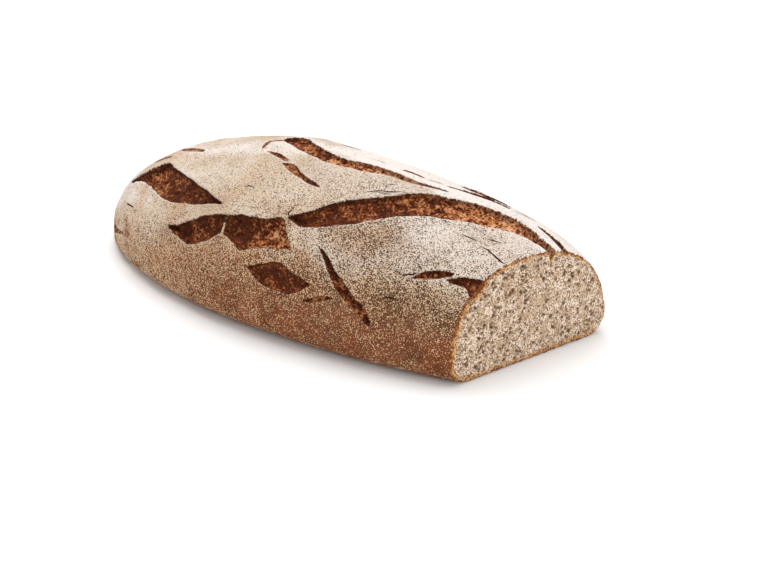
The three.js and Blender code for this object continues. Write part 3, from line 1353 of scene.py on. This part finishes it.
def make_grains(name: str) -> bpy.types.NodeTree:
    """Make the group that lays grains of flour.

    Args:
        name: The group's name.

    Returns:
        The group, with how much flour covers each spot, and its height.
    """
    wiring, (place, cover, grit), (dust_out, height_out) = new_group(
        name, ("Cover", "Grit"), ("Dust", "Height"))
    fine = wiring.noise(place, 0.72, 2.0, 0.55)
    middle = wiring.noise(place, 2.4, 2.0, 0.6)
    coarse = wiring.noise(place, 8.0, 3.0, 0.6)
    grain = fine * 0.74 + middle * 0.16 + coarse * 0.10
    bar = 0.598 - cover * 0.175
    soft = wiring.span(cover, 0.3, 0.9, 0.034, 0.044) - grit * 0.014
    dust = wiring.span(grain - bar, soft * -1.0, soft)
    veil = wiring.math("SUBTRACT", wiring.span(cover, 0.35, 1.1, 0.0, 0.22), grit * 0.3, clamp=True)
    wiring.feed(dust_out, wiring.math("MAXIMUM", dust, veil))
    wiring.feed(height_out, fine)
    return wiring.tree


def make_pits(name: str) -> bpy.types.NodeTree:
    """Make the group that lays small pores in baked dough: a mask for the shade painted into them, and their
    height.

    Args:
        name: The group's name.

    Returns:
        The group, with how deep in a pore each spot lies, which sets the painted pore shade, and the height.
    """
    wiring, (place, size, openness), (pore_shade_out, height_out) = new_group(
        name, ("Size", "Openness"), ("PoreShade", "Height"))
    swirl = wiring.node("ShaderNodeTexNoise")
    wiring.feed(swirl.inputs["Vector"], place)
    wiring.feed(swirl.inputs["Scale"], 900.0)
    bend = wiring.node("ShaderNodeVectorMath", operation="MULTIPLY_ADD")
    wiring.feed(bend.inputs[0], Wire(wiring, swirl.outputs["Color"]))
    wiring.feed(bend.inputs[1], (0.8 * MM, 0.8 * MM, 0.8 * MM))
    wiring.feed(bend.inputs[2], place)
    cells = wiring.node("ShaderNodeTexVoronoi", feature="F1")
    wiring.feed(cells.inputs["Vector"], Wire(wiring, bend.outputs[0]))
    wiring.feed(cells.inputs["Scale"], wiring.math("DIVIDE", 1000.0, size))
    chance = wiring.node("ShaderNodeSeparateColor")
    wiring.feed(chance.inputs[0], Wire(wiring, cells.outputs["Color"]))
    radius = wiring.math("POWER", Wire(wiring, chance.outputs[0]), 1.4) * openness
    inside = radius - Wire(wiring, cells.outputs["Distance"])
    wiring.feed(pore_shade_out, wiring.span(inside, -0.08, 0.16))
    wiring.feed(height_out, 1.0 - wiring.span(inside, -0.08, 0.3))
    return wiring.tree


@dataclass(frozen=True)
class CrustFinish:
    """Rye crust: red-brown where it is bare, dusted with flour, and dark and rough in its tears, with shade
    painted into the tears and cracks.
    """

    bare_dark: Colour = (0.075, 0.027, 0.013, 1.0)
    bare_black: Colour = (0.052, 0.035, 0.022, 1.0)
    bare_warm: Colour = (0.20, 0.053, 0.019, 1.0)
    bare_grey: Colour = (0.17, 0.083, 0.042, 1.0)
    thick_flour: Colour = (0.75, 0.685, 0.635, 1.0)
    flour: Colour = (0.56, 0.445, 0.325, 1.0)
    thin_flour: Colour = (0.57, 0.335, 0.18, 1.0)
    straw_flour: Colour = (0.64, 0.42, 0.235, 1.0)
    stained_flour: Colour = (0.43, 0.28, 0.175, 1.0)
    # The darkest torn dough, also used as the painted shade in pores, under the tears' lips and in the
    # cracks.
    torn_dark_and_shade: Colour = (0.036, 0.008, 0.003, 1.0)
    torn: Colour = (0.19, 0.047, 0.015, 1.0)
    torn_calm: Colour = (0.132, 0.036, 0.014, 1.0)
    torn_bright: Colour = (0.57, 0.205, 0.068, 1.0)
    torn_fleck: Colour = (0.71, 0.43, 0.25, 1.0)

    def material(self) -> bpy.types.Material:
        """Wire the finish.

        Returns:
            The material.
        """
        material, wiring, place = new_material("rye_crust")
        ragged = wiring.span(wiring.noise(place, 1.1, 2.0, 0.6), 0.25, 0.75, -0.25, 0.25)
        torn_here = wiring.span(wiring.attribute("tear") + ragged, -0.06, 0.12)
        grains = wiring.group("flour_grains", make_grains, Vector=place, Cover=wiring.attribute("flour"),
                              Grit=wiring.attribute("grit"))
        skin = wiring.mix(grains["Dust"], self.bare_tone(wiring, place), self.flour_tone(wiring, place))
        crack_width = wiring.attribute("crack_width")
        distance = wiring.math("ABSOLUTE", wiring.attribute("crack"), 0.0)
        crack = wiring.span(crack_width - distance, -0.12, 0.1)
        # Cracks are painted dark: partly the torn crust's own colour, partly painted shade inside the crack,
        # near black where narrow.
        crack_tone_and_shade = wiring.mix(wiring.span(crack_width, 0.45, 0.8), self.torn_dark_and_shade, self.torn)
        skin = wiring.mix(crack, skin, crack_tone_and_shade)
        dough, dough_height = self.dough(wiring, place)
        wrinkles = wiring.noise(place, 3.2, 3.0, 0.6)
        skin_height = grains["Height"] * 0.7 + wrinkles * 0.7 - crack
        height = skin_height * (1.0 - torn_here) + (dough_height + wrinkles) * torn_here
        roughness = wiring.span(torn_here, 0.0, 1.0, 0.92, 0.62)
        wiring.finish(wiring.mix(torn_here, skin, dough), roughness, 0.05, height, 0.6)
        return material

    def bare_tone(self, wiring: Wiring, place: Wire) -> Wire:
        """Colour the bare crust.

        Args:
            wiring: The material's wiring.
            place: Where the patterns are read.

        Returns:
            The colour.
        """
        patches = wiring.span(wiring.noise(place, 9.0, 4.0, 0.6), 0.3, 0.72)
        tone = wiring.mix(wiring.attribute("warmth"), self.bare_grey, self.bare_warm)
        tone = wiring.mix(patches * 0.6, tone, self.bare_dark)
        return wiring.mix(wiring.attribute("grit") * 0.75, tone, self.bare_black)

    def flour_tone(self, wiring: Wiring, place: Wire) -> Wire:
        """Colour the flour: tan where thin, straw where the crust is warm, pale where thick.

        Args:
            wiring: The material's wiring.
            place: Where the patterns are read.

        Returns:
            The colour.
        """
        cover = wiring.attribute("flour")
        tone = wiring.mix(wiring.span(cover, 0.1, 0.8), self.thin_flour, self.flour)
        stains = wiring.span(wiring.noise(place, 16.0, 4.0, 0.65), 0.46, 0.66, 0.0, 0.70)
        tone = wiring.mix(stains, tone, self.stained_flour)
        tone = wiring.mix(wiring.attribute("warmth") * 0.7, tone, self.straw_flour)
        gritty = wiring.attribute("grit") * wiring.span(cover, 0.42, 0.85, 0.03, 0.65)
        thickness = wiring.math("MAXIMUM", wiring.span(cover, 0.84, 1.12), gritty)
        return wiring.mix(thickness, tone, self.thick_flour)

    def dough(self, wiring: Wiring, place: Wire) -> tuple[Wire, Wire]:
        """Colour the torn dough, with shade painted into its pores and under the upper lip of each tear.

        Args:
            wiring: The material's wiring.
            place: Where the patterns are read.

        Returns:
            The colour and the height.
        """
        crumbs = wiring.noise(place, 1.5, 3.0, 0.7)
        lumps = wiring.noise(place, 6.5, 2.0, 0.6, 0.5)
        pits = wiring.group("dough_pores", make_pits, Vector=place, Size=2.2, Openness=0.55)
        glow = wiring.attribute("glow")
        lit = crumbs * 0.60 + lumps * 0.40 + wiring.span(glow, 0.0, 1.0, -0.060, 0.060)
        tone = wiring.mix(wiring.span(lit, 0.44, 0.48), self.torn_dark_and_shade, self.torn)
        tone = wiring.mix(wiring.span(lit, 0.50, 0.54), tone, self.torn_bright)
        fleck = wiring.span(lit, 0.55, 0.59) * wiring.span(glow, 0.3, 0.9, 0.45, 1.0)
        tone = wiring.mix(fleck, tone, self.torn_fleck)
        tone = wiring.mix(wiring.span(glow, 0.0, 0.8, 0.45, 0.0), tone, self.torn_calm)
        # Painted shadow: a dark band under each tear's upper lip, wider where the dough baked brighter,
        # joined with the painted shade in the pores.
        lip_shadow_band = wiring.span(wiring.attribute("tear"), glow * 1.7 + 1.1, 0.2, 0.0, 0.75)
        painted_lip_shadow = lip_shadow_band * wiring.span(wiring.attribute("across"), 0.50, 0.85)
        shade = wiring.math("MAXIMUM", pits["PoreShade"] * 0.9, painted_lip_shadow)
        return wiring.mix(shade * 0.85, tone, self.torn_dark_and_shade), crumbs * 2.2 + pits["Height"]


@dataclass(frozen=True)
class CrumbFinish:
    """The sliced face: pale moist crumb full of pores, with shade painted into its pores and finest hollows,
    and the crust in section round it.
    """

    wall_bright: Colour = (0.92, 0.76, 0.62, 1.0)
    wall: Colour = (0.54, 0.38, 0.25, 1.0)
    moist_wall: Colour = (0.50, 0.33, 0.19, 1.0)
    # Painted shade colours: hollow for the crumb's finest hollows, pore for its pores.
    hollow: Colour = (0.22, 0.12, 0.05, 1.0)
    pore: Colour = (0.135, 0.060, 0.021, 1.0)
    rim_inner: Colour = (0.72, 0.41, 0.17, 1.0)
    rim_outer: Colour = (0.20, 0.060, 0.019, 1.0)
    rim_width: float = 3.3

    def material(self) -> bpy.types.Material:
        """Wire the finish.

        Returns:
            The material.
        """
        material, wiring, place = new_material("rye_crumb")
        wide = wiring.group("dough_pores", make_pits, Vector=place, Size=2.8, Openness=0.50)
        small = wiring.group("dough_pores", make_pits, Vector=place, Size=1.3, Openness=0.52)
        grain = wiring.noise(place, 0.85, 2.0, 0.6) * 0.75 + wiring.noise(place, 3.4, 3.0, 0.65) * 0.25
        # Painted shade: the darkest grains take the hollow colour, for shade in the finest hollows.
        walls = wiring.mix(wiring.span(grain, 0.41, 0.47), self.hollow, self.wall)
        walls = wiring.mix(wiring.span(grain, 0.48, 0.53), walls, self.wall_bright)
        moist = wiring.span(wiring.noise(place, 6.0, 3.0, 0.7), 0.44, 0.62, 0.0, 0.6)
        walls = wiring.mix(moist, walls, self.moist_wall)
        # Painted shade in the pores: the pattern's pores and the sculpted pore bowls darken towards the pore
        # colour.
        fine_pore_shade = wiring.math("MAXIMUM", wide["PoreShade"], small["PoreShade"] * 0.8) * 0.82
        large_pore_shade = wiring.span(wiring.attribute("pore"), 0.15, 1.3)
        walls = wiring.mix(wiring.math("MAXIMUM", fine_pore_shade, large_pore_shade), walls, self.pore)
        wobble = wiring.span(wiring.noise(place, 2.2, 3.0, 0.65), 0.2, 0.8, -1.3, 1.3)
        inward = wiring.attribute("rim") + wobble
        rim = wiring.mix(wiring.span(inward, 0.0, 1.6), self.rim_outer, self.rim_inner)
        rim = wiring.mix(wiring.span(grain, 0.54, 0.40), rim, self.rim_outer)
        within = wiring.span(inward, 0.45 * self.rim_width, 1.35 * self.rim_width)
        height = wide["Height"] + small["Height"] + grain * 2.4
        wiring.finish(wiring.mix(within, rim, walls), 0.85, 0.08, height, 0.55)
        return material


@dataclass(frozen=True)
class Studio:
    """A pale floor, soft light and the camera."""

    floor_size: float = 12.0
    floor_tone: Colour = (0.92, 0.92, 0.92, 1.0)
    sky_strength: float = 0.72
    camera_azimuth: float = 36.34
    camera_elevation: float = 26.37
    camera_distance: float = 1.332
    camera_lens: float = 110.67

    def floor(self) -> bpy.types.Object:
        """Lay the floor just under the loaf.

        Returns:
            The floor.
        """
        bpy.ops.object.select_all(action="DESELECT")
        bpy.ops.mesh.primitive_plane_add(size=self.floor_size, location=(0.0, 0.0, -0.0002))
        floor = bpy.context.object
        floor.name = "studio_floor"
        material = bpy.data.materials.new("studio_floor")
        material.use_nodes = True
        shader = material.node_tree.nodes["Principled BSDF"]
        shader.inputs["Base Color"].default_value = self.floor_tone
        shader.inputs["Roughness"].default_value = 0.9
        floor.data.materials.append(material)
        return floor

    def sky(self) -> None:
        """Surround the scene with even white light."""
        world = bpy.data.worlds.new("studio")
        world.use_nodes = True
        background = world.node_tree.nodes["Background"]
        background.inputs["Color"].default_value = (1.0, 1.0, 1.0, 1.0)
        background.inputs["Strength"].default_value = self.sky_strength
        bpy.context.scene.world = world

    def lamp(self, name: str, power: float, size: float, place: tuple[float, float, float],
             target: tuple[float, float, float] = (0.0, 0.0, 0.04)) -> bpy.types.Object:
        """Hang a soft square lamp.

        Args:
            name: Its name.
            power: Its power, in watts.
            size: Its width, in metres.
            place: Where it hangs.
            target: Where it points.

        Returns:
            The lamp.
        """
        light = bpy.data.lights.new(name, "AREA")
        light.energy = power
        light.size = size
        lamp = bpy.data.objects.new(name, light)
        bpy.context.scene.collection.objects.link(lamp)
        lamp.location = place
        lamp.rotation_euler = (Vector(target) - Vector(place)).to_track_quat("-Z", "Y").to_euler()
        return lamp

    def camera(self, target: Vector) -> bpy.types.Object:
        """Set the camera up at its viewing angle.

        Args:
            target: The point that it looks at.

        Returns:
            The camera.
        """
        azimuth, elevation = math.radians(self.camera_azimuth), math.radians(self.camera_elevation)
        level = math.cos(elevation)
        back = Vector((math.sin(azimuth) * level, -math.cos(azimuth) * level, math.sin(elevation)))
        data = bpy.data.cameras.new("camera")
        data.lens = self.camera_lens
        data.sensor_width = 36.0
        data.clip_end = 50.0
        camera = bpy.data.objects.new("camera", data)
        bpy.context.scene.collection.objects.link(camera)
        camera.location = target + back * self.camera_distance
        camera.rotation_euler = (-back).to_track_quat("-Z", "Y").to_euler()
        bpy.context.scene.camera = camera
        return camera

    def light(self) -> None:
        """Hang the lamps: a broad one above and behind, and a weaker one in front."""
        self.lamp("top_light", 19.0, 1.5, (-0.40, 0.25, 1.45))
        self.lamp("front_fill", 9.0, 1.2, (1.4, -0.75, 0.8))


def main() -> None:
    """Build the loaf and the studio round it."""
    logging.basicConfig(level=logging.INFO, format="%(message)s")
    low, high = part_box(LOAF_NODE)
    shape = LoafShape(width=(high.y - low.y) / MM, height=(high.z - low.z) / MM)
    loaf = RyeLoaf(shape, origin_reach=-low.x / MM).build()
    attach(loaf, LOAF_BODY)
    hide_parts(LOAF_NODE)
    studio = Studio()
    studio.floor()
    studio.sky()
    studio.light()
    along, aside, above = LOOKED_AT
    studio.camera(Vector((low.x + along * MM, aside * MM, above * MM)))
    bpy.context.scene.view_settings.view_transform = "Standard"


if __name__ == "__main__":
    main()
